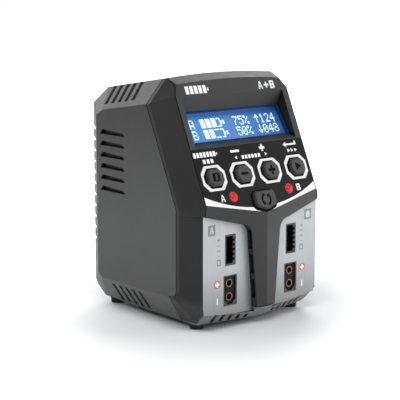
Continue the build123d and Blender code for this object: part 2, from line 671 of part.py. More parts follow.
def make_output_socket(side):
    """Two-pole output: shroud, chamfered core and two gold sleeves."""
    w, h = OUTPUT_HOLE[0] - 0.2, OUTPUT_HOLE[1] - 0.2
    x, z = side * BALANCE_X, OUTPUT_Z
    shroud = block((x - w / 2, x + w / 2), (0.2, 12.0), (z - h / 2, z + h / 2))
    shroud = shroud - along_y(cut_corners(x, z, 4.0, 7.35, 2.6), -1, 9.0)
    shroud = shroud + along_y(cut_corners(x, z, 3.45, 6.85, 2.3), CONTACT_FACE + 0.1, 9.5)
    sleeves = []
    for end in (-1, 1):
        pin_z = CONTACT_Z + end * CONTACT_PITCH / 2
        sleeve = rod((x, CONTACT_FACE, pin_z), (x, CHARGE_BOARD_Y, pin_z), CONTACT_OUTER)
        shroud = shroud - rod((x, 0, pin_z), (x, 13, pin_z), CONTACT_OUTER)
        bore = rod((x, 0, pin_z), (x, CONTACT_FACE + CONTACT_DEPTH, pin_z), CONTACT_BORE)
        sleeves.append(sleeve - bore)
    return shroud, Compound(children=sleeves)


# ---------------------------------------------------------------- inside
def make_charge_board():
    """Upright board that carries the sockets, and what stands on its back."""
    top, low = 3.0, -42.0
    y0, y1 = CHARGE_BOARD_Y, CHARGE_BOARD_Y + BOARD
    outline = [(-40, top), (40, top), (40, -34), (34, low), (-34, low), (-40, -34)]
    PARTS["charge_board"] = along_y(outline, y0, y1)
    PARTS["controller_chip"] = block((-6, 6), (y1, y1 + 1.4), (-14, -2))
    coils = []
    for side in (-1, 1):
        coil = rod((side * 30, y1, -27), (side * 30, y1 + 7, -27), 6.5)
        coils.append(coil - rod((side * 30, y1 + 5, -27), (side * 30, y1 + 8, -27), 3.2))
    PARTS["power_inductors"] = Compound(children=coils)
    cans = []
    for side in (-1, 1):
        for row in range(3):
            x = side * 12
            z = -20 - 8.5 * row
            cans.append(rod((x, y1, z), (x, y1 + 5.6, z), 3.9))
    PARTS["output_capacitors"] = Compound(children=cans)
    chips = []
    for side in (-1, 1):
        for row in range(2):
            x = side * (18 + 12 * row)
            chips.append(block((x - 4.5, x + 4.5), (y1, y1 + 2.2), (-11, -1)))
    PARTS["power_transistors"] = Compound(children=chips)
    plates = []
    for side in (-1, 1):
        x0, x1 = sorted((side * 12.5, side * 35.5))
        plate = block((x0, x1), (y1 + 2.2, y1 + 3.6), (-13, 1))
        for fin in range(6):
            x = side * (14.0 + 3.9 * fin)
            plate = plate + block((x - 0.6, x + 0.6), (y1 + 3.4, y1 + 7.5), (-13, 1))
        plates.append(plate)
    PARTS["output_heat_sink"] = Compound(children=plates)


def make_power_board():
    """Mains supply board on the floor posts, with its large components."""
    z0, z1 = POWER_BOARD_Z, POWER_BOARD_Z + BOARD
    board = block((-38, 38), (21.5, 82), (z0, z1))
    for x, y in power_board_posts():
        board = board - rod((x, y, z0 - 1), (x, y, z1 + 1), 1.35)
    PARTS["power_board"] = board
    glass = rod((-33, 38, z1 + 3.2), (-33, 58, z1 + 3.2), 2.6)
    clips = block((-34.5, -31.5), (40, 41.5), (z1, z1 + 2)) + block((-34.5, -31.5), (54.5, 56), (z1, z1 + 2))
    PARTS["fuse"] = glass + clips
    ring = rod((-22, 53, z1 + 9), (-22, 62, z1 + 9), 9.0) - rod((-22, 50, z1 + 9), (-22, 64, z1 + 9), 3.8)
    PARTS["filter_choke"] = ring
    PARTS["filter_capacitor"] = block((-30, -12), (38, 46), (z1, z1 + 15))
    body = block((-8, 14), (66, 69.6), (z1 + 2, z1 + 18))
    PARTS["rectifier"] = body + block((-6, 12), (67, 68.6), (z1, z1 + 3))
    PARTS["bulk_capacitor"] = rod((-1, 53, z1), (-1, 53, z1 + 34), 9.0) - (
        rod((-1, 53, z1 + 33.6), (-1, 53, z1 + 35), 7.6))
    core = block((12, 32), (30, 60), (z1 + 4, z1 + 30)) - block((11, 33), (36, 54), (z1 + 9, z1 + 25))
    core = core + block((17, 27), (40.5, 49.5), (z1 + 4, z1 + 30))
    PARTS["transformer_core"] = core
    tube = block((13, 31), (37, 53), (z1 + 9.2, z1 + 24.8)) - block((17, 27), (40.5, 49.5), (z1, z1 + 40))
    for x0, x1, x2 in ((9, 12, 13.5), (35, 32, 30.5)):
        flange = block((min(x0, x1), max(x0, x1)), (38, 52), (z1, z1 + 20))
        tube = tube + flange + block((min(x1, x2) - 0.3, max(x1, x2)), (38, 52), (z1 + 9.4, z1 + 20))
    PARTS["transformer_winding"] = tube
    sink = block((35.4, 37.2), (34, 72), (z1, z1 + 34))
    for fin in range(5):
        y = 36 + 8.5 * fin
        sink = sink + block((36.5, 41.0), (y - 0.7, y + 0.7), (z1 + 6, z1 + 34))
    PARTS["primary_heat_sink"] = sink


def make_fan():
    """Cooling fan: square frame with bearing tube on spokes, and a seven-blade rotor."""
    rear = REAR_Y - WALL
    front = rear - FAN_THICK
    middle = (front + rear) / 2
    frame = block((-FAN_SIZE / 2, FAN_SIZE / 2), (front, rear), (FAN_Z - FAN_SIZE / 2, FAN_Z + FAN_SIZE / 2))
    frame = fillet(frame.edges().filter_by(Axis.Y), 3.0)
    frame = frame - rod((0, front - 1, FAN_Z), (0, rear + 1, FAN_Z), 23.5)
    hub = rod((0, front, FAN_Z), (0, front + 2.0, FAN_Z), 12.5)
    for turn in range(3):
        spoke = Rot(0, 120 * turn + 90, 0) * block((10, 24.5), (0, 2.0), (-1.6, 1.6))
        hub = hub + Pos(0, front, FAN_Z) * spoke
    hub = hub + rod((0, front, FAN_Z), (0, front + 9.0, FAN_Z), 4.0)
    frame = frame + hub
    frame = frame - rod((0, front + 1.0, FAN_Z), (0, rear, FAN_Z), FAN_SHAFT + FAN_PLAY)
    for x, z in fan_screw_points():
        frame = frame - rod((x, front - 1, z), (x, rear + 1, z), 1.5)
    PARTS["fan_frame"] = frame
    rotor = rod((0, front + 3.0, FAN_Z), (0, rear - 1.0, FAN_Z), 12.0)
    rotor = rotor - rod((0, front + 2.0, FAN_Z), (0, rear - 2.4, FAN_Z), 5.0)
    rotor = rotor + rod((0, front + 1.6, FAN_Z), (0, rear - 2.0, FAN_Z), FAN_SHAFT)
    blade_plane = Plane(origin=(0, middle, 0), x_dir=(1, 0, 0), z_dir=(0, 0, 1))
    for turn in range(7):
        blade = blade_plane * Pos(0, 0, 17) * Rot(0, 0, 38) * Box(10.5, 1.3, 12.0)
        blade = Rot(0, 360 / 7 * turn, 0) * blade
        rotor = rotor + Pos(0, 0, FAN_Z) * blade
    PARTS["fan_rotor"] = rotor & rod((0, front, FAN_Z), (0, rear, FAN_Z), 22.6)


def make_inlet():
    """Figure-eight mains inlet and its two pins."""
    x, z = INLET_X, INLET_Z
    half = INLET_PITCH / 2
    body = block((x - 9.2, x + 9.2), (REAR_Y - 18, REAR_Y - 0.2), (z - 5.2, z + 5.2))
    body = fillet(body.edges().filter_by(Axis.Y), 2.0)
    for side in (-1, 1):
        lobe = rod((x + side * half, REAR_Y - 13, z), (x + side * half, REAR_Y + 2, z), 3.9)
        body = body - lobe
    body = body - block((x - half, x + half), (REAR_Y - 13, REAR_Y + 2), (z - 3.0, z + 3.0))
    pins = []
    for side in (-1, 1):
        pin = rod((x + side * half, REAR_Y - 22, z), (x + side * half, REAR_Y - 3, z), 1.2)
        body = body - pin
        pins.append(pin)
    PARTS["ac_inlet"] = body
    PARTS["inlet_pins"] = Compound(children=pins)


def lead(points, radius, bend):
    """Round wire along straight runs joined by tangent arcs."""
    path = FilletPolyline(*points, radius=bend)
    start = Plane(origin=path @ 0, z_dir=path % 0)
    return sweep(start * Circle(radius), path=path)


def ribbon(points, thick, half):
    """Flat cable across X, bent at each of its (y, z) points."""
    strip = None
    for (y0, z0), (y1, z1) in zip(points, points[1:]):
        run = Vector(0, y1 - y0, z1 - z0)
        middle = Vector(0, (y0 + y1) / 2, (z0 + z1) / 2)
        slab = Plane(origin=middle, x_dir=run, z_dir=(1, 0, 0)) * Box(run.length, thick, 2 * half)
        strip = slab if strip is None else strip + slab
    for y, z in points[1:-1]:
        strip = strip + rod((-half, y, z), (half, y, z), thick / 2)
    return strip


def make_leads():
    """Insulated wires that stay inside the case."""
    z1 = POWER_BOARD_Z + BOARD
    half = INLET_PITCH / 2
    wires = []
    for side in (-1, 1):
        x = INLET_X + side * half
        points = [(x, REAR_Y - 22, INLET_Z), (x, REAR_Y - 23.8, INLET_Z), (x, REAR_Y - 22.8, z1)]
        wires.append(lead(points, 0.7, 0.8))
    front = REAR_Y - WALL - FAN_THICK
    for x in (21.0, 23.0):
        points = [(x, front, 3.5), (x, front - 4.0, 3.5), (x, front - 4.0, z1)]
        wires.append(lead(points, 0.6, 2.0))
    PARTS["internal_leads"] = Compound(children=wires)
    back = LCD_STACK + BOARD
    board_back = CHARGE_BOARD_Y + BOARD
    route = [lcd_point(-10.0, back), lcd_point(-10.0, back + 5.0),
             (27.0, 22.0), (27.0, 1.5), (board_back, 1.5)]
    PARTS["display_ribbon"] = ribbon(route, 0.5, 12.0)


def make_insulation():
    """Black insulating film that lines the side walls behind the louvres."""
    film = envelope(WALL + 0.3) - envelope(WALL + 0.3 + FILM)
    film = film & block((-60, 60), (41.5, 76.0), (-30.0, 76.0))
    return film - block((-ROOF_HALF, ROOF_HALF), (20, 80), (60, 90))


# ---------------------------------------------------------------- feet and fasteners
def foot_points():
    return [(side * x, y) for side in (-1, 1) for x, y in ((34.0, 12.4), (32.5, 82.0))]


def make_feet():
    """Four rubber feet; the rear pair is set into the rising underside of the case."""
    feet = []
    for x, y in foot_points():
        foot = Cone(FOOT_R - 0.4, FOOT_R, BOTTOM_Z - FLOOR_Z, align=(Align.CENTER, Align.CENTER, Align.MIN))
        foot = Pos(x, y, FLOOR_Z) * foot
        if y > CHARGE_BOARD_Y:
            foot = foot + rod((x, y, BOTTOM_Z - 0.5), (x, y, FOOT_TOP), FOOT_R)
        feet.append(foot)
    return Compound(children=feet)


def make_fasteners():
    """Screws: case, fan and boards."""
    case = screw(2.8, 1.0, CASE_SCREW_R, 6.0)
    PARTS["case_screws"] = Compound(children=[
        Plane(origin=(x, y, BOTTOM_Z + 1.1), z_dir=(0, 0, -1)) * case for x, y in screw_points()])
    fan = screw(2.8, 1.1, 1.45, 9.0)
    PARTS["fan_screws"] = Compound(children=[
        Plane(origin=(x, REAR_Y - 1.2, z), z_dir=(0, 1, 0)) * fan for x, z in fan_screw_points()])
    small = screw(2.1, 1.4, 1.0, 5.0)
    screws = [Pos(x, y, POWER_BOARD_Z + BOARD) * small for x, y in power_board_posts()]
    facing = Plane(origin=panel_plane().origin, x_dir=(1, 0, 0), z_dir=-panel_plane().z_dir)
    for x, u in panel_posts():
        screws.append(facing * Pos(x, -u, BOARD_DEPTH + BOARD) * small)
    PARTS["board_screws"] = Compound(children=screws)


# ---------------------------------------------------------------- build
def build():
    outer = envelope(0.0)
    inner = envelope(WALL)
    core = envelope(WALL + LIP)
    PARTS["rear_shell"] = make_rear_shell(outer, inner)
    PARTS["front_frame"] = make_front_frame(outer, inner, core)
    PARTS["control_fascia"] = make_fascia(outer, inner)
    sheet, crescent, rings = make_label()
    PARTS["keypad_overlay"] = sheet
    PARTS["arc_trim"] = crescent
    PARTS["button_bezels"] = rings
    make_keys()
    make_key_board()
    make_display()
    for name, side in (("a", -1), ("b", 1)):
        PARTS["connector_panel_" + name] = make_connector_panel(side)
        PARTS["balance_socket_" + name], PARTS["balance_pins_" + name] = make_balance_socket(side)
        PARTS["output_socket_" + name], PARTS["output_contacts_" + name] = make_output_socket(side)
    make_charge_board()
    make_power_board()
    make_fan()
    make_inlet()
    make_leads()
    PARTS["insulation_sheet"] = make_insulation()
    PARTS["rubber_feet"] = make_feet()
    make_fasteners()


def export():
    """Write each piece in the resting frame."""
    os.makedirs("parts", exist_ok=True)
    front_y = KEY_CENTRE[0] + (CHANNEL_TIP + CAP_EDGE) * sin(LEAN) - CAP_RISE * cos(LEAN)
    rest = Pos(0, -(REAR_Y + front_y) / 2, -FLOOR_Z)
    for name, shape in PARTS.items():
        export_step(rest * shape, f"parts/{name}.step")


build()
export()
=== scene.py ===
"""Looks of a two-channel balance charger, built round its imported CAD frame."""
import json
from math import cos, pi, radians, sin

import bmesh
import bpy
from mathutils import Matrix, Vector


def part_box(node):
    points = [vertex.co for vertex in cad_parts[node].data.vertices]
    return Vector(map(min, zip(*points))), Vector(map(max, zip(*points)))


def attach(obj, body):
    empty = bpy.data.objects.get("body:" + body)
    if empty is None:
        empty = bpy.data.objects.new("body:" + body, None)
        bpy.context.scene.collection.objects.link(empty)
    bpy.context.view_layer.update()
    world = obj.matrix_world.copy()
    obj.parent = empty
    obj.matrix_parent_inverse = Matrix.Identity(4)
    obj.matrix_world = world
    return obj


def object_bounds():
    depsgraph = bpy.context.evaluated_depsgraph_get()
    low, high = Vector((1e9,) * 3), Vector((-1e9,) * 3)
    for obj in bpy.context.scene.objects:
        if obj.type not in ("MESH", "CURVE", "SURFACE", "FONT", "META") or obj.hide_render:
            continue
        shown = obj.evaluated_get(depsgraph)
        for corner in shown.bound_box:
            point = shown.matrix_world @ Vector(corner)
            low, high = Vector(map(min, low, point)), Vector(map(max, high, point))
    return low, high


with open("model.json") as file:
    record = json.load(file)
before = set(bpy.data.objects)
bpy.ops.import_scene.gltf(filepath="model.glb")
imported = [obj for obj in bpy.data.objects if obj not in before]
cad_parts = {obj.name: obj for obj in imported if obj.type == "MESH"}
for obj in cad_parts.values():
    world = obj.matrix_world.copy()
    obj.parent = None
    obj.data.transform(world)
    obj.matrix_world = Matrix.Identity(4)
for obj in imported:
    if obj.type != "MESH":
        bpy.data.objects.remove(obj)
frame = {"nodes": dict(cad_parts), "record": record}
cad_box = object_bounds()
nodes = frame["nodes"]

# ---------------------------------------------------------------- frame of the design, in millimetres
# x = 0 on the plane of symmetry, y = 0 on the face of the connector plates, z = 0 a little above their
# sockets. The leaning panel and the display are planes, given by a centre and a lean from upright.
MM = 0.001
PLATE_TO_REAR = 93.16
FLOOR_DROP = 50.0
DATUM = Vector((0.0, cad_box[1].y / MM - PLATE_TO_REAR, FLOOR_DROP))

PANEL_CENTRE = (0.0, 4.26, 29.21)
PANEL_LEAN = radians(24.0)
KEY_PITCH = 19.57
KEY_FACE = 2.0
CHANNEL_KEY_Z = -15.2
LCD_CENTRE = (0.0, 20.5, 53.3)
LCD_LEAN = radians(33.2)
LCD_FACE = -1.2
PRINT = 0.05                     # thickness of printed marks
PRINT_SINK = 0.02                # part of it that lies in the surface
OVERPRINT = 0.03                 # lift of a mark that is printed on another one


def plane_matrix(centre, lean, depth=0.0, quarter_turn=False):
    """Places plane millimetres (across, up, out) on the object, in metres."""
    across = Vector((1.0, 0.0, 0.0))
    up = Vector((0.0, sin(lean), cos(lean)))
    out = Vector((0.0, -cos(lean), sin(lean)))
    origin = (DATUM + Vector(centre) + out * depth) * MM
    if quarter_turn:
        across, up = up, -across
    columns = [across * MM, up * MM, out * MM]
    matrix = Matrix.Identity(4)
    for i, column in enumerate(columns):
        for row in range(3):
            matrix[row][i] = column[row]
    for row in range(3):
        matrix[row][3] = origin[row]
    return matrix


def panel(depth=0.0):
    """Plane of the leaning control panel."""
    return plane_matrix(PANEL_CENTRE, PANEL_LEAN, depth)


def display():
    """Plane of the face of the display glass."""
    return plane_matrix(LCD_CENTRE, LCD_LEAN, LCD_FACE)


def plate(x, z, lift=0.0, quarter_turn=False):
    """Plane of the connector plates, with its origin at the place given."""
    return plane_matrix((x, 0.0, z), 0.0, lift, quarter_turn)


# ---------------------------------------------------------------- materials
def start_material(name, base, rough, metallic=0.0):
    """A Principled material with uniform values, its node tree and its shader."""
    material = bpy.data.materials.new(name)
    material.use_nodes = True
    tree = material.node_tree
    shader = tree.nodes["Principled BSDF"]
    shader.inputs["Base Color"].default_value = (*base, 1.0)
    shader.inputs["Roughness"].default_value = rough
    shader.inputs["Metallic"].default_value = metallic
    return material, tree, shader


def noise(tree, scale, detail=2.0, stretch=(1.0, 1.0, 1.0)):
    """Noise in object space; scale is in cycles per metre."""
    place = tree.nodes.new("ShaderNodeTexCoord")
    mapping = tree.nodes.new("ShaderNodeMapping")
    mapping.inputs["Scale"].default_value = stretch
    texture = tree.nodes.new("ShaderNodeTexNoise")
    texture.inputs["Scale"].default_value = scale
    texture.inputs["Detail"].default_value = detail
    tree.links.new(place.outputs["Object"], mapping.inputs["Vector"])
    tree.links.new(mapping.outputs["Vector"], texture.inputs["Vector"])
    return texture.outputs["Fac"]


def blend_colour(tree, shader, factor, dark, light):
    """Base colour that drifts between two values."""
    ramp = tree.nodes.new("ShaderNodeValToRGB")
    ramp.color_ramp.elements[0].position = 0.3
    ramp.color_ramp.elements[0].color = (*dark, 1.0)
    ramp.color_ramp.elements[1].position = 0.7
    ramp.color_ramp.elements[1].color = (*light, 1.0)
    tree.links.new(factor, ramp.inputs["Fac"])
    tree.links.new(ramp.outputs["Color"], shader.inputs["Base Color"])


def vary_roughness(tree, shader, factor, low, high):
    """Roughness that drifts between two values."""
    spread = tree.nodes.new("ShaderNodeMapRange")
    spread.inputs["From Min"].default_value = 0.3
    spread.inputs["From Max"].default_value = 0.7
    spread.inputs["To Min"].default_value = low
    spread.inputs["To Max"].default_value = high
    tree.links.new(factor, spread.inputs["Value"])
    tree.links.new(spread.outputs["Result"], shader.inputs["Roughness"])


def relief(tree, shader, factor, strength, height, edge=0.0):
    """Fine surface relief, on edges that are softened by a small radius in metres."""
    bump = tree.nodes.new("ShaderNodeBump")
    if edge:
        soft = tree.nodes.new("ShaderNodeBevel")
        soft.samples = 4
        soft.inputs["Radius"].default_value = edge
        tree.links.new(soft.outputs["Normal"], bump.inputs["Normal"])
    bump.inputs["Strength"].default_value = strength
    bump.inputs["Distance"].default_value = height
    tree.links.new(factor, bump.inputs["Height"])
    tree.links.new(bump.outputs["Normal"], shader.inputs["Normal"])


def position(tree):
    """Object-space position, as sockets X, Y and Z."""
    place = tree.nodes.new("ShaderNodeTexCoord")
    parts = tree.nodes.new("ShaderNodeSeparateXYZ")
    tree.links.new(place.outputs["Object"], parts.inputs["Vector"])
    return parts.outputs


def colour_product(tree, first, second):
    """Product of two colours or values."""
    mix = tree.nodes.new("ShaderNodeMix")
    mix.data_type = "RGBA"
    mix.blend_type = "MULTIPLY"
    mix.inputs["Factor"].default_value = 1.0
    tree.links.new(first, mix.inputs["A"])
    tree.links.new(second, mix.inputs["B"])
    return mix.outputs["Result"]


def multiply(tree, shader, factor, dark, low, high, bright=1.0):
    """Scales the base colour: the factor's range low..high becomes dark..bright."""
    ramp = tree.nodes.new("ShaderNodeMapRange")
    ramp.inputs["From Min"].default_value = low
    ramp.inputs["From Max"].default_value = high
    ramp.inputs["To Min"].default_value = dark
    ramp.inputs["To Max"].default_value = bright
    tree.links.new(factor, ramp.inputs["Value"])
    colour = shader.inputs["Base Color"].links[0].from_socket
    tree.links.new(colour_product(tree, colour, ramp.outputs["Result"]), shader.inputs["Base Color"])


def paint_depth_shade(tree, shader, start, end, dark):
    """Painted shade: darkens the plastic from one depth to another behind the connector plates, in
    millimetres.
    """
    multiply(tree, shader, position(tree)["Y"], dark, (DATUM.y + end) * MM, (DATUM.y + start) * MM)


def shade_cavities(tree, shader, reach=0.003, dark=0.05, low=0.35, high=0.8):
    """Painted shade that darkens the colour in slots, gaps and inner corners, by ambient occlusion."""
    hollow = tree.nodes.new("ShaderNodeAmbientOcclusion")
    hollow.samples = 8
    hollow.inputs["Distance"].default_value = reach
    multiply(tree, shader, hollow.outputs["AO"], dark, low, high)


def painted_height_shade(tree, shader, z0, z1, factor):
    """Painted shade: colour factor that grows to 1 between two heights over the table, in millimetres."""
    multiply(tree, shader, position(tree)["Z"], factor, z0 * MM, z1 * MM)


def scaled(colour, factor):
    """Lighter or darker version of a colour."""
    return tuple(min(1.0, c * factor) for c in colour)


def moulded(name, base, rough, grain=5200.0, depth=0.000025, specular=0.5, edge=0.0, cavities=False):
    """Moulded plastic: fine spark-eroded grain, slow drift of colour and gloss."""
    drift = 0.06
    material, tree, shader = start_material(name, base, rough)
    slow = noise(tree, 38.0, 3.0)
    blend_colour(tree, shader, slow, scaled(base, 1 - drift), scaled(base, 1 + drift))
    vary_roughness(tree, shader, noise(tree, 260.0, 4.0), rough - 0.04, rough + 0.04)
    relief(tree, shader, noise(tree, grain, 2.0), 0.35, depth, edge)
    shader.inputs["Specular IOR Level"].default_value = specular
    # cavities: painted shade in slots, gaps and inner corners
    if cavities:
        shade_cavities(tree, shader)
    return material


def paint_face_light(tree, shader, factor, *spans):
    """Painted light and shade on a face: scales the colour by the factor where every span (coordinate,
    start, full) is full, in millimetres.
    """
    where = position(tree)
    aside = tree.nodes.new("ShaderNodeMath")
    aside.operation = "ABSOLUTE"
    tree.links.new(where["X"], aside.inputs[0])
    product = None
    for name, start, full in spans:
        mask = tree.nodes.new("ShaderNodeMapRange")
        mask.inputs["From Min"].default_value = start * MM
        mask.inputs["From Max"].default_value = full * MM
        tree.links.new(aside.outputs["Value"] if name == "aside" else where[name], mask.inputs["Value"])
        if product is None:
            product = mask.outputs["Result"]
            continue
        both = tree.nodes.new("ShaderNodeMath")
        both.operation = "MULTIPLY"
        tree.links.new(product, both.inputs[0])
        tree.links.new(mask.outputs["Result"], both.inputs[1])
        product = both.outputs["Value"]
    multiply(tree, shader, product, 1.0, 0.0, 1.0, factor)


def shell_plastic(name, base, face_lights):
    """Moulded plastic of the case: soft edges, painted shade in its slots, and painted light and shade on
    each of its faces.
    """
    material = moulded(name, base, 0.5, specular=0.25, edge=0.0002, cavities=True)
    tree = material.node_tree
    for factor, spans in face_lights:
        paint_face_light(tree, tree.nodes["Principled BSDF"], factor, *spans)
    return material


def metal(name, base, rough, stretch=(1.0, 1.0, 1.0), grain=900.0, depth=0.00001):
    """Bare or plated metal with drawn or brushed marks."""
    material, tree, shader = start_material(name, base, rough, 1.0)
    marks = noise(tree, grain, 3.0, stretch)
    blend_colour(tree, shader, marks, scaled(base, 0.88), scaled(base, 1.06))
    vary_roughness(tree, shader, noise(tree, 150.0, 3.0), rough - 0.06, rough + 0.08)
    relief(tree, shader, marks, 0.4, depth)
    return material


def socket_nylon():
    """Dark grey nylon, with painted shade that makes it black deeper in than its rims level with the plates.
    """
    material = moulded("socket_nylon", (0.085, 0.085, 0.088), 0.5, grain=6500.0, specular=0.2)
    tree = material.node_tree
    paint_depth_shade(tree, tree.nodes["Principled BSDF"], 0.3, 0.7, 0.06)
    return material


def silver_paint():
    """Satin silver lacquer with faint upright brushing, painted shade in its hollows and painted shade
    towards its foot.
    """
    base = (0.475, 0.495, 0.505)
    material, tree, shader = start_material("satin_silver", base, 0.42, 0.35)
    brushing = noise(tree, 1500.0, 3.0, (1.0, 1.0, 0.03))
    blend_colour(tree, shader, brushing, scaled(base, 0.94), scaled(base, 1.06))
    vary_roughness(tree, shader, noise(tree, 70.0, 3.0), 0.38, 0.46)
    relief(tree, shader, noise(tree, 5200.0, 2.0), 0.2, 0.00001)
    # painted shade in the plates' hollows, and darker towards their foot
    shade_cavities(tree, shader, 0.004, 0.72, 0.5, 0.95)
    painted_height_shade(tree, shader, 3.0, 32.0, 0.58)
    return material


def printed(name, base, rough=0.5, glow=0.0):
    """Screen-printed ink with slight mottling."""
    material, tree, shader = start_material(name, base, rough)
    blend_colour(tree, shader, noise(tree, 1400.0, 2.0), scaled(base, 0.94), base)
    relief(tree, shader, noise(tree, 6000.0, 1.0), 0.15, 0.00001)
    if glow:
        shader.inputs["Emission Color"].default_value = (*base, 1.0)
        shader.inputs["Emission Strength"].default_value = glow
    return material


def gloss_sheet():
    """Black label sheet with a printed gloss face."""
    base = (0.008, 0.008, 0.0084)
    material, tree, shader = start_material("gloss_label", base, 0.36)
    shader.inputs["Specular IOR Level"].default_value = 0.07
    blend_colour(tree, shader, noise(tree, 60.0, 2.0), scaled(base, 0.9), scaled(base, 1.15))
    vary_roughness(tree, shader, noise(tree, 400.0, 3.0), 0.28, 0.36)
    relief(tree, shader, noise(tree, 2600.0, 1.0), 0.1, 0.00001)
    return material


def along(tree, socket, start, end, stops):
    """Colour ramp over a coordinate that runs from start to end, in metres."""
    span = tree.nodes.new("ShaderNodeMapRange")
    span.inputs["From Min"].default_value = start
    span.inputs["From Max"].default_value = end
    tree.links.new(socket, span.inputs["Value"])
    ramp = tree.nodes.new("ShaderNodeValToRGB")
    elements = ramp.color_ramp.elements
    while len(elements) < len(stops):
        elements.new(0.5)
    for element, (position, colour) in zip(elements, stops):
        element.position = position
        element.color = (*colour, 1.0)
    tree.links.new(span.outputs["Result"], ramp.inputs["Fac"])
    return ramp.outputs["Color"]


def lit_display():
    """Blue backlit display: brightest on the left, darker towards its right end, with painted shade at its
    foot and top.
    """
    material, tree, shader = start_material("blue_display", (0.01, 0.03, 0.1), 0.2)
    low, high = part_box("lcd_glass")
    where = position(tree)
    across = along(tree, where["X"], low.x, high.x, [
        (0.0, (0.11, 0.31, 0.74)), (0.12, (0.1, 0.28, 0.68)), (0.42, (0.12, 0.275, 0.6)),
        (0.78, (0.065, 0.18, 0.45)), (0.93, (0.035, 0.12, 0.33)), (1.0, (0.012, 0.05, 0.17))])
    foot_and_top_shade = along(tree, where["Z"], low.z, high.z, [
        (0.0, (0.5, 0.55, 0.6)), (0.16, (1.0, 1.0, 1.0)), (0.72, (1.0, 1.0, 1.0)), (0.9, (0.3, 0.38, 0.5))])
    blend_colour(tree, shader, noise(tree, 900.0, 2.0), (0.008, 0.028, 0.09), (0.012, 0.034, 0.11))
    tree.links.new(colour_product(tree, across, foot_and_top_shade), shader.inputs["Emission Color"])
    shader.inputs["Emission Strength"].default_value = 0.95
    shader.inputs["Specular IOR Level"].default_value = 0.25
    relief(tree, shader, noise(tree, 4000.0, 1.0), 0.05, 0.00001)
    return material


def lamp_red():
    """Clear red lens with a faint glow."""
    material, tree, shader = start_material("red_lens", (0.62, 0.004, 0.008), 0.22)
    blend_colour(tree, shader, noise(tree, 700.0, 2.0), (0.5, 0.003, 0.006), (0.66, 0.006, 0.012))
    shader.inputs["Emission Color"].default_value = (1.0, 0.012, 0.02, 1.0)
    shader.inputs["Emission Strength"].default_value = 0.4
    shader.inputs["Specular IOR Level"].default_value = 0.3
    return material


def rubber():
    """Dull black rubber of the feet."""
    material, tree, shader = start_material("foot_rubber", (0.012, 0.012, 0.012), 0.8)
    blend_colour(tree, shader, noise(tree, 300.0, 3.0), (0.009, 0.009, 0.009), (0.016, 0.016, 0.016))
    vary_roughness(tree, shader, noise(tree, 900.0, 3.0), 0.7, 0.88)
    relief(tree, shader, noise(tree, 3000.0, 3.0), 0.4, 0.00005)
    return material


# Painted light and shade on the moulded faces, as colour factors: (factor, spans). A span is (coordinate,
# start, full) in millimetres of the object, where "aside" is the distance from the plane of symmetry and "Z"
# is the height over the table.
SIDE_WALL_SHADE = (0.5, [("aside", 48.7, 48.9), ("Z", 50.0, 112.0)])         # flat sides: painted shade, darker with height
CHAMFER_LIGHT = (1.35, [("aside", 48.9, 48.7)])                              # painted light on all of the shell but its flat sides
FRONT_SLOPE_LIGHT = (11.0, [("aside", 39.0, 38.2), ("Z", 11.5, 10.5)])        # painted light: slotted bevel under the plates, eleven times lighter
LOWER_FACET_LIGHT = (1.9, [("aside", 39.0, 39.6), ("Z", 19.0, 15.0)])        # painted light on its corners
BAND_LEFT_SHADE = (0.78, [("X", 1.0, -1.0), ("Z", 70.0, 67.0)])               # halves of the band under the panel: painted shade on the left, painted light on the right
BAND_RIGHT_LIGHT = (1.35, [("X", -1.0, 1.0), ("Z", 70.0, 67.0)])
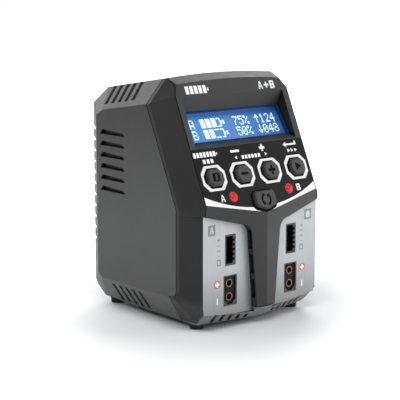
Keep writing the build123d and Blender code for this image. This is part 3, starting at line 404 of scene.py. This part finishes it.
# painted shade on the side walls of the display recess, from 84 to 88 mm over the table upwards
RECESS_WALL_SHADE = (0.3, [("aside", 35.74, 35.78), ("aside", 35.86, 35.82), ("Z", 84.0, 88.0)])
CASE = (0.078, 0.078, 0.079)
FINISHES = {
    "case": shell_plastic("case_plastic", CASE, (SIDE_WALL_SHADE, CHAMFER_LIGHT)),
    "case_dark": shell_plastic("frame_plastic", scaled(CASE, 0.27), (FRONT_SLOPE_LIGHT, LOWER_FACET_LIGHT)),
    "fascia": shell_plastic("fascia_plastic", scaled(CASE, 0.6), (BAND_LEFT_SHADE, BAND_RIGHT_LIGHT, RECESS_WALL_SHADE)),
    # the keys carry painted shade in the gaps and on the walls round them
    "button": moulded("key_plastic", (0.062, 0.062, 0.063), 0.5, grain=7000.0, depth=0.000015, specular=0.25,
                      edge=0.0003, cavities=True),
    "black_plastic": moulded("black_plastic", (0.018, 0.018, 0.019), 0.45),
    "socket": socket_nylon(),
    "plunger": moulded("plunger_plastic", (0.5, 0.5, 0.48), 0.4),
    # an insulating film made near black: painted shade behind the vent slots
    "film": moulded("insulating_shade_film", (0.006, 0.006, 0.006), 0.6),
    "wire": moulded("wire_sleeve", (0.35, 0.05, 0.04), 0.4),
    "backlight": moulded("light_guide", (0.7, 0.8, 0.9), 0.3),
    "ferrite": moulded("ferrite", (0.04, 0.04, 0.042), 0.65, grain=2500.0),
    "capacitor_can": moulded("capacitor_sleeve", (0.02, 0.03, 0.09), 0.3),
    "yellow_case": moulded("film_capacitor", (0.62, 0.42, 0.05), 0.4),
    "tape": moulded("winding_tape", (0.6, 0.45, 0.06), 0.3, grain=1500.0),
    "copper_winding": metal("enamelled_copper", (0.6, 0.22, 0.08), 0.3, (1.0, 9.0, 1.0)),
    "fuse_glass": moulded("fuse_glass", (0.7, 0.72, 0.72), 0.15),
    "circuit_board": moulded("solder_mask", (0.012, 0.11, 0.045), 0.35, grain=1800.0),
    "label": gloss_sheet(),
    "white_trim": printed("white_print", (0.97, 0.97, 0.97), 0.4),
    "display": lit_display(),
    "red_lamp": lamp_red(),
    "silver": silver_paint(),
    "gold": metal("gold_plate", (0.42, 0.26, 0.085), 0.26, (1.0, 8.0, 1.0)),
    "tinned_pin": metal("tinned_pin", (0.72, 0.72, 0.7), 0.25, (1.0, 0.2, 1.0)),
    "aluminium": metal("extruded_aluminium", (0.75, 0.76, 0.77), 0.38, (1.0, 0.1, 1.0)),
    "screw_steel": metal("black_screw", (0.12, 0.12, 0.125), 0.35),
    "rubber": rubber(),
}
BEZEL = moulded("display_bezel", (0.008, 0.04, 0.13), 0.3, specular=0.25)
# the lamp rims' faint glow is painted light from the lamps
LAMP_RIM = printed("lamp_rim", (0.3, 0.004, 0.006), 0.4, glow=0.1)
BOX_INK = printed("box_ink", (0.24, 0.25, 0.255), 0.5)
DIGIT_INK = printed("digit_ink", (0.2, 0.21, 0.215), 0.5)
WHITE_INK = printed("white_ink", (0.96, 0.96, 0.96), 0.45)
GREY_INK = printed("grey_ink", (0.2, 0.205, 0.21), 0.5)
PALE_INK = printed("pale_ink", (0.66, 0.68, 0.69), 0.5)
RED_INK = printed("red_ink", (0.68, 0.14, 0.14), 0.5)
KEY_INK = printed("key_ink", (0.003, 0.003, 0.003), 0.7)
KEY_INK.node_tree.nodes["Principled BSDF"].inputs["Specular IOR Level"].default_value = 0.1
LCD_INK = printed("lcd_segment", (0.6, 0.8, 1.0), 0.4, glow=0.75)

slot_of = {entry["node"]: entry["material_slot"] for entry in frame["record"]["subparts"]}
for name, node in nodes.items():
    node.data.materials.clear()
    node.data.materials.append(BEZEL if name == "lcd_frame" else FINISHES[slot_of[name]])


# ---------------------------------------------------------------- printed marks
def finish_piece(obj, material, body):
    """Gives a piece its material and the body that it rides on."""
    obj.data.materials.append(material)
    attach(obj, body)


def printed_shape(name, loops, matrix, material, body="case"):
    """Thin raised print. Each loop is a closed outline; a loop inside another one is a hole."""
    curve = bpy.data.curves.new(name, "CURVE")
    curve.dimensions = "2D"
    curve.fill_mode = "BOTH"
    curve.extrude = PRINT / 2
    for loop in loops:
        spline = curve.splines.new("POLY")
        spline.points.add(len(loop) - 1)
        for point, (x, y) in zip(spline.points, loop):
            point.co = (x, y, 0.0, 1.0)
        spline.use_cyclic_u = True
    as_mesh(name, curve, matrix, material, body)


def as_mesh(name, curve, matrix, material, body):
    """Turns a flat curve or text into a mesh piece that lies on the object."""
    helper = bpy.data.objects.new(name + "_outline", curve)
    bpy.context.scene.collection.objects.link(helper)
    bpy.context.view_layer.update()
    mesh = bpy.data.meshes.new_from_object(helper.evaluated_get(bpy.context.evaluated_depsgraph_get()))
    bpy.data.objects.remove(helper)
    mesh.name = name
    mesh.transform(matrix @ Matrix.Translation((0.0, 0.0, PRINT / 2 - PRINT_SINK)))
    mesh.materials.clear()
    obj = bpy.data.objects.new(name, mesh)
    bpy.context.scene.collection.objects.link(obj)
    finish_piece(obj, material, body)


def rectangle(x0, x1, y0, y1):
    """Outline between two values across and two up."""
    return [(x0, y0), (x1, y0), (x1, y1), (x0, y1)]


def circle(x, y, radius, steps=40):
    """Outline of a round mark."""
    angles = [2 * pi * i / steps for i in range(steps)]
    return [(x + radius * cos(angle), y + radius * sin(angle)) for angle in angles]


def cross(x, y, reach, half):
    """Plus sign: reach is half its width, half is half the width of its bars."""
    a, b = reach, half
    corners = [(a, b), (b, b), (b, a), (-b, a), (-b, b), (-a, b),
               (-a, -b), (-b, -b), (-b, -a), (b, -a), (b, -b), (a, -b)]
    return [(x + u, y + v) for u, v in corners]


def triangle(x, y, size, direction):
    """Triangle that points left (-1) or right (+1)."""
    back = x - direction * size
    return [(back, y - size * 1.1), (back, y + size * 1.1), (x + direction * size, y)]


def letter_loops(letter, height, stroke):
    """Bold A or B centred on the origin, drawn with straight strokes."""
    h = height / 2
    w = 0.39 * height
    if letter == "A":
        outside = [(-w, -h), (-0.3 * w, h), (0.3 * w, h), (w, -h), (w - 1.15 * stroke, -h),
                   (0.52 * w, -0.5 * h), (-0.52 * w, -0.5 * h), (-w + 1.15 * stroke, -h)]
        return [outside, [(-0.36 * w, -0.12 * h), (0.36 * w, -0.12 * h), (0.0, 0.55 * h)]]
    cut = 0.3 * w
    outside = [(-w, -h), (w - cut, -h), (w, -h + cut), (w, -cut), (0.82 * w, 0.0), (w - 0.1 * w, cut),
               (w - 0.1 * w, h - cut), (w - cut, h), (-w, h)]
    low = rectangle(-w + stroke, w - stroke, -h + 0.8 * stroke, -0.45 * stroke)
    high = rectangle(-w + stroke, w - 1.1 * stroke, 0.45 * stroke, h - 0.8 * stroke)
    return [outside, low, high]


def printed_digit(name, digit, matrix, size, material):
    """A single digit, centred on the matrix."""
    curve = bpy.data.curves.new(name, "FONT")
    curve.body = digit
    curve.size = size
    curve.extrude = PRINT / 2
    curve.align_x = "CENTER"
    curve.align_y = "CENTER"
    as_mesh(name, curve, matrix, material, "case")


# ---------------------------------------------------------------- display characters
DOT_PITCH = (0.632, 0.745)       # across and up
DOT_GAP = 0.05
CELL_PITCH = 3.84                # from one character to the next
TEXT_LEFT = -30.2
ROW_TOPS = (4.95, -1.3)
GLYPHS = {
    "0": (".###.", "#...#", "#..##", "#.#.#", "##..#", "#...#", ".###."),
    "1": ("..#..", ".##..", "..#..", "..#..", "..#..", "..#..", ".###."),
    "2": (".###.", "#...#", "....#", "...#.", "..#..", ".#...", "#####"),
    "4": ("...#.", "..##.", ".#.#.", "#..#.", "#####", "...#.", "...#."),
    "5": ("#####", "#....", "####.", "....#", "....#", "#...#", ".###."),
    "7": ("#####", "....#", "...#.", "..#..", ".#...", ".#...", ".#..."),
    "8": (".###.", "#...#", "#...#", ".###.", "#...#", "#...#", ".###."),
    "%": ("##...", "##..#", "...#.", "..#..", ".#...", "#..##", "...##"),
    "A": (".###.", "#...#", "#...#", "#...#", "#####", "#...#", "#...#"),
    "B": ("####.", "#...#", "#...#", "####.", "#...#", "#...#", "####."),
    "up": ("..#..", ".###.", "#.#.#", "..#..", "..#..", "..#..", "..#.."),
    "down": ("..#..", "..#..", "..#..", "..#..", "#.#.#", ".###.", "..#.."),
    "full": ("#####",) * 7,
    "open": ("#####", ".....", ".....", ".....", ".....", ".....", "#####"),
    "end": ("####.", "...#.", "...##", "...##", "...##", "...#.", "####."),
    "tip": (".....", ".....", "##...", "##...", "##...", ".....", "....."),
    " ": (".....",) * 7,
}
ROWS = (
    ("A", " ", "full", "full", "full", "end", "tip", " ", "7", "5", "%", " ", "up", "1", "2", "4"),
    ("B", " ", "full", "full", "open", "end", "tip", " ", "5", "0", "%", " ", "down", "0", "4", "8"),
)


def display_rows():
    """Both rows of the display as small raised dots."""
    for number, (top, row) in enumerate(zip(ROW_TOPS, ROWS), 1):
        mesh = bmesh.new()
        matrix = display() @ Matrix.Translation((0.0, 0.0, PRINT / 2 - PRINT_SINK))
        for column, glyph in enumerate(row):
            for line, pattern in enumerate(GLYPHS[glyph]):
                for dot, mark in enumerate(pattern):
                    if mark != "#":
                        continue
                    x = TEXT_LEFT + column * CELL_PITCH + (dot + 0.5) * DOT_PITCH[0]
                    y = top - (line + 0.5) * DOT_PITCH[1]
                    size = (DOT_PITCH[0] - DOT_GAP, DOT_PITCH[1] - DOT_GAP, PRINT)
                    place = matrix @ Matrix.Translation((x, y, 0.0)) @ Matrix.Diagonal((*size, 1.0))
                    bmesh.ops.create_cube(mesh, size=1.0, matrix=place)
        data = bpy.data.meshes.new(f"display_row_{number}")
        mesh.to_mesh(data)
        mesh.free()
        obj = bpy.data.objects.new(f"display_row_{number}", data)
        bpy.context.scene.collection.objects.link(obj)
        finish_piece(obj, LCD_INK, "case")


# ---------------------------------------------------------------- legends on the label and the keys
def key_symbols():
    """Stop, minus, plus and play signs on the four keys, and two turning arrows on the centre one."""
    signs = {
        "stop": [rectangle(-2.3, 2.3, -2.2, 2.2), rectangle(-0.45, 0.75, -1.6, 1.6)],
        "minus": [rectangle(-2.4, 2.4, -0.75, 0.75)],
        "plus": [cross(0.0, 0.0, 2.5, 0.8)],
        "enter": [triangle(0.2, 0.0, 2.1, 1)],
    }
    for i, (name, loops) in enumerate(signs.items()):
        x = KEY_PITCH * (i - 1.5)
        place = panel(KEY_FACE) @ Matrix.Translation((x, 0.0, 0.0))
        printed_shape(name + "_symbol", loops, place, KEY_INK, name + "_key")
    place = panel(KEY_FACE) @ Matrix.Translation((0.0, CHANNEL_KEY_Z, 0.0))
    arrows = turning_arrows(2.9, 1.2)
    printed_shape("channel_symbol", arrows, place, KEY_INK, "channel_key")


def turning_arrows(radius, width):
    """Two arrows that chase each other round a circle."""
    sweep, tip, barb, steps = 120, 32, 1.4, 14
    loops = []
    for start in (100, 280):
        outer = []
        inner = []
        for step in range(steps + 1):
            angle = radians(start + sweep * step / steps)
            outer.append(((radius + width / 2) * cos(angle), (radius + width / 2) * sin(angle)))
            inner.append(((radius - width / 2) * cos(angle), (radius - width / 2) * sin(angle)))
        tip_angle = radians(start + sweep + tip)
        head = [((radius + barb) * cos(angle), (radius + barb) * sin(angle)),
                (radius * cos(tip_angle), radius * sin(tip_angle)),
                ((radius - barb) * cos(angle), (radius - barb) * sin(angle))]
        loops.append(outer + head + inner[::-1])
    return loops


def battery_cells(x, y, width, height, cells):
    """Battery pictogram with its left lower corner at (x, y): a row of solid cells and the pole."""
    pitch = width / cells
    loops = [rectangle(x + i * pitch, x + (i + 0.76) * pitch, y, y + height) for i in range(cells)]
    return loops + [rectangle(x + width, x + width + 0.3 * pitch, y + 0.3 * height, y + 0.7 * height)]


LAMP_X = 19.94
LAMP_UP = -10.96
LAMP_RIM_RADII = (2.75, 2.05)
LAMP_LETTERS = (("A", -27.2, -LAMP_X), ("B", 26.9, LAMP_X))      # letter, its place, place of its lamp
LAMP_LETTER_UP = -10.9
BROW_LETTERS = (("A", 20.6), ("B", 29.3))
BROW_UP = 47.2
ARROW_UP = 9.3                   # the two small arrows beside the level bars
BAR_PITCH = 2.3
SIGN_PITCH = 2.6                 # short bars of the stop sign, and triangles of the start sign


def label_marks():
    """Generic signs over the keys, on the brow above the display and beside the lamps."""
    short_bars = [rectangle(-33.6 + SIGN_PITCH * i, -31.8 + SIGN_PITCH * i, 8.0, 10.2) for i in range(3)]
    bars = [rectangle(-6.9 + BAR_PITCH * i, -5.3 + BAR_PITCH * i, 8.1, 10.1) for i in range(6)]
    enter = [(24.3, 12.9), (26.6, 11.4), (26.6, 12.4), (34.0, 12.4), (34.0, 14.6), (33.0, 14.6),
             (33.0, 13.4), (26.6, 13.4), (26.6, 14.4)]
    signs = {
        "battery_sign": battery_cells(-38.8, 11.4, 15.4, 2.7, 7),
        "stop_sign": short_bars,
        "minus_sign": [rectangle(-13.6, -7.6, 12.1, 13.4)],
        "plus_sign": [cross(8.8, 12.9, 1.9, 0.62)],
        "left_sign": [triangle(-11.0, ARROW_UP, 0.85, -1)],
        "right_sign": [triangle(10.6, ARROW_UP, 0.85, 1)],
        "level_sign": bars,
        "enter_sign": [enter],
        "start_sign": [triangle(27.6 + SIGN_PITCH * i, 9.5, 0.95, 1) for i in range(3)],
        "brow_battery": battery_cells(-32.0, 45.2, 14.8, 4.3, 5),
        "brow_plus": [cross(25.0, BROW_UP, 1.7, 0.5)],
    }
    place = panel()
    for name, loops in signs.items():
        printed_shape(name, loops, place, WHITE_INK)
    for letter, x in BROW_LETTERS:
        spot = place @ Matrix.Translation((x, BROW_UP, 0.0))
        printed_shape("brow_letter_" + letter.lower(), letter_loops(letter, 4.3, 1.0), spot, WHITE_INK)
    for letter, x, lamp in LAMP_LETTERS:
        tag = letter.lower()
        spot = place @ Matrix.Translation((x, LAMP_LETTER_UP, 0.0))
        printed_shape("lamp_letter_" + tag, letter_loops(letter, 3.6, 0.85), spot, WHITE_INK)
        rim = [circle(lamp, LAMP_UP, radius) for radius in LAMP_RIM_RADII]
        printed_shape("lamp_rim_" + tag, rim, place, LAMP_RIM)


# ---------------------------------------------------------------- marks on the silver plates
BOX_X = 34.6                     # boxed channel letter
BOX_Z = 3.5
BOX_HALF = (2.45, 2.7)           # half its width and height
BOX_EDGE = 0.4                   # width of its frame
CELL_X = 29.8                    # column of cell numbers
FIRST_CELL_Z = -2.2
CELL_STEP = 2.8
COMMON_Z = -13.9                 # outlined square under the numbers
POLE_X = 30.8
POSITIVE_Z = -25.2
NEGATIVE_Z = -34.1


def channel_box(side, letter, tag):
    """Framed letter of a channel."""
    across, up = BOX_HALF
    outer = rectangle(-across, across, -up, up)
    inner = rectangle(-across + BOX_EDGE, across - BOX_EDGE, -up + BOX_EDGE, up - BOX_EDGE)
    place = plate(side * BOX_X, BOX_Z)
    printed_shape("channel_frame_" + tag, [outer, inner], place, GREY_INK)
    printed_shape("channel_box_" + tag, [inner], place, BOX_INK)
    ink = PALE_INK if side < 0 else WHITE_INK
    lifted = plate(side * BOX_X, BOX_Z, OVERPRINT)
    printed_shape("channel_letter_" + tag, letter_loops(letter, 3.4, 0.8), lifted, ink)


def cell_marks(side, tag):
    """Cell numbers beside a balance socket, with a small square for the common pin."""
    x = side * CELL_X
    for i, digit in enumerate("4321"):
        spot = plate(x, FIRST_CELL_Z - CELL_STEP * i, quarter_turn=True)
        printed_digit(f"cell_{digit}_{tag}", digit, spot, 2.9, DIGIT_INK)
    square = [rectangle(-1.3, 1.3, -1.6, 1.6), rectangle(-0.85, 0.85, -1.15, 1.15)]
    printed_shape("cell_common_" + tag, square, plate(x, COMMON_Z), DIGIT_INK)


def pole_marks(side, tag):
    """White plus on a red disc, and a white minus, beside an output socket."""
    x = side * POLE_X
    printed_shape("positive_disc_" + tag, [circle(0.0, 0.0, 2.2)], plate(x, POSITIVE_Z), RED_INK)
    lifted = plate(x, POSITIVE_Z, OVERPRINT)
    printed_shape("positive_sign_" + tag, [cross(0.0, 0.0, 1.5, 0.55)], lifted, WHITE_INK)
    bar = [rectangle(-0.42, 0.42, -1.7, 1.7)]
    printed_shape("negative_sign_" + tag, bar, plate(x, NEGATIVE_Z), WHITE_INK)


def plate_marks():
    """Boxed channel letters, cell numbers and pole signs."""
    for letter, side in (("A", -1), ("B", 1)):
        tag = letter.lower()
        channel_box(side, letter, tag)
        cell_marks(side, tag)
        pole_marks(side, tag)


display_rows()
key_symbols()
label_marks()
plate_marks()


# ---------------------------------------------------------------- camera, light and floor
CAMERA_PLACE = (-436.70, -454.71, 128.77)        # from the datum
CAMERA_BEARING = 40.97                           # degrees to the right of straight ahead
CAMERA_DIP = 10.16                               # degrees below level
CAMERA_LENS = 110.61
CAMERA_SHIFT = (-0.00225, -0.0035)
FLOOR_HALF = 15.0
GLOW_SPAN = 1.5                                  # distance over which the floor's own light changes


def make_camera():
    """Long lens at the height and bearing from which the charger is shown."""
    camera_data = bpy.data.cameras.new("camera")
    camera_data.lens = CAMERA_LENS
    camera_data.sensor_width = 36.0
    camera_data.shift_x, camera_data.shift_y = CAMERA_SHIFT
    camera_data.clip_end = 50.0
    camera = bpy.data.objects.new("camera", camera_data)
    camera.location = (DATUM + Vector(CAMERA_PLACE)) * MM
    camera.rotation_euler = (radians(90.0 - CAMERA_DIP), 0.0, radians(-CAMERA_BEARING))
    bpy.context.scene.collection.objects.link(camera)
    bpy.context.scene.camera = camera


def make_floor():
    """Pale table top, shaded only by the charger close to it; further out it glows with painted light that
    turns it evenly white.
    """
    material, tree, shader = start_material("studio_floor", (0.92, 0.93, 0.94), 0.7)
    blend_colour(tree, shader, noise(tree, 3.0, 2.0), (0.91, 0.92, 0.93), (0.93, 0.94, 0.95))
    place = tree.nodes.new("ShaderNodeTexCoord")
    away = tree.nodes.new("ShaderNodeVectorMath")
    away.operation = "LENGTH"
    tree.links.new(place.outputs["Object"], away.inputs[0])
    # painted light: no glow near the charger, a dim glow beyond it, evenly white far out
    unlit, near, far = (0.0, 0.0, 0.0), (0.36, 0.36, 0.36), (0.95, 0.96, 0.97)
    stops = [(0.0, unlit), (0.048, unlit), (0.085, near), (0.35, near), (0.7, far)]
    glow = along(tree, away.outputs["Value"], 0.0, GLOW_SPAN, stops)
    tree.links.new(glow, shader.inputs["Emission Color"])
    shader.inputs["Emission Strength"].default_value = 1.0
    mesh = bmesh.new()
    bmesh.ops.create_grid(mesh, x_segments=8, y_segments=8, size=FLOOR_HALF)
    data = bpy.data.meshes.new("floor")
    mesh.to_mesh(data)
    mesh.free()
    floor = bpy.data.objects.new("floor", data)
    floor.data.materials.append(material)
    bpy.context.scene.collection.objects.link(floor)


def bearing_light(name, bearing, height, power, distance=1.1, size=(0.7, 0.6), target=(0.0, 0.0, 0.06)):
    """Area light at a bearing from +X and a height angle, in degrees, aimed at the target."""
    data = bpy.data.lights.new(name, "AREA")
    data.shape = "RECTANGLE"
    data.size, data.size_y = size
    data.energy = power
    flat = distance * cos(radians(height))
    rise = distance * sin(radians(height))
    away = Vector((flat * cos(radians(bearing)), flat * sin(radians(bearing)), rise))
    light = bpy.data.objects.new(name, data)
    light.location = Vector(target) + away
    light.rotation_euler = (-away).to_track_quat("-Z", "Y").to_euler()
    bpy.context.scene.collection.objects.link(light)


def make_light():
    """White studio: soft boxes round the table and a wash over the floor behind."""
    world = bpy.data.worlds.new("studio")
    world.use_nodes = True
    background = world.node_tree.nodes["Background"]
    background.inputs["Color"].default_value = (0.98, 0.99, 1.0, 1.0)
    background.inputs["Strength"].default_value = 0.06
    bpy.context.scene.world = world
    bearing_light("front_top", -135, 60, 5.6)
    bearing_light("left", 180, 35, 1.2)
    bearing_light("right_front", -40, 15, 5.0)
    bearing_light("left_rear", 155, 45, 3.4)
    bearing_light("behind", 40, 30, 3.6)
    bearing_light("right_rear", 90, 25, 3.0)
    bearing_light("floor_wash", 49, 35, 82.0, distance=3.0, size=(3.0, 3.0), target=(1.2, 1.35, 0.0))
    bpy.context.scene.view_settings.view_transform = "Standard"


make_camera()
make_floor()
make_light()
